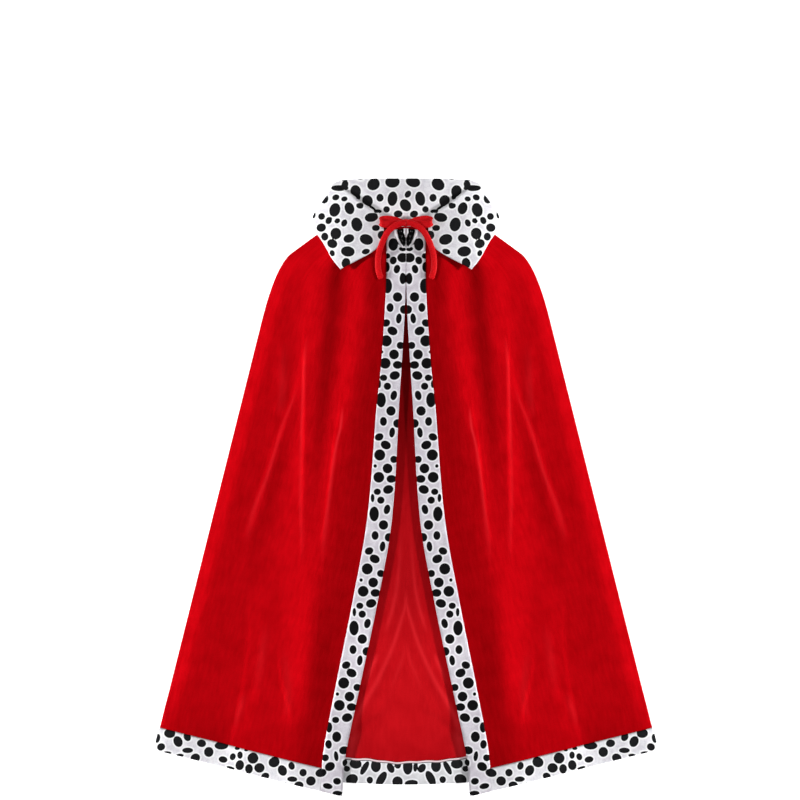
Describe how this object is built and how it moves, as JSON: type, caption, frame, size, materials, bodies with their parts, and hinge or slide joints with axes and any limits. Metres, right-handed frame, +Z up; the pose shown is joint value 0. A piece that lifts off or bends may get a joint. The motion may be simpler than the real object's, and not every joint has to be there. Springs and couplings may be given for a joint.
{
  "type": "king costume cape",
  "caption": "Child's costume cape laid flat: flared velvet back and fronts, spotted plush borders, pointed turn-down collar and a tie bow.",
  "frame": {"origin": "on the surface the cape lies on, in the middle of its outline", "axes": "+Y towards the collar, +X towards the wearer's left, +Z up from the surface, which the back lies on with the fronts on top"},
  "size_m": [0.729, 0.8942, 0.029],
  "materials": {
    "velvet": "short-pile polyester velvet, the same red on both sides",
    "spotted_plush": "short plush, white printed with black oval spots",
    "tie_ribbon": "flat turned tube of the red cloth"
  },
  "bodies": {
    "root": {"back": "velvet", "front_left": "velvet", "front_right": "velvet", "front_border_left": "spotted_plush", "front_border_right": "spotted_plush", "front_hem_border_left": "spotted_plush", "front_hem_border_right": "spotted_plush", "back_hem_border": "spotted_plush", "collar": "spotted_plush", "tie_loop_left": "tie_ribbon", "tie_loop_right": "tie_ribbon", "tie_tail_left": "tie_ribbon", "tie_tail_right": "tie_ribbon", "tie_knot": "tie_ribbon"}
  },
  "joints": []
}
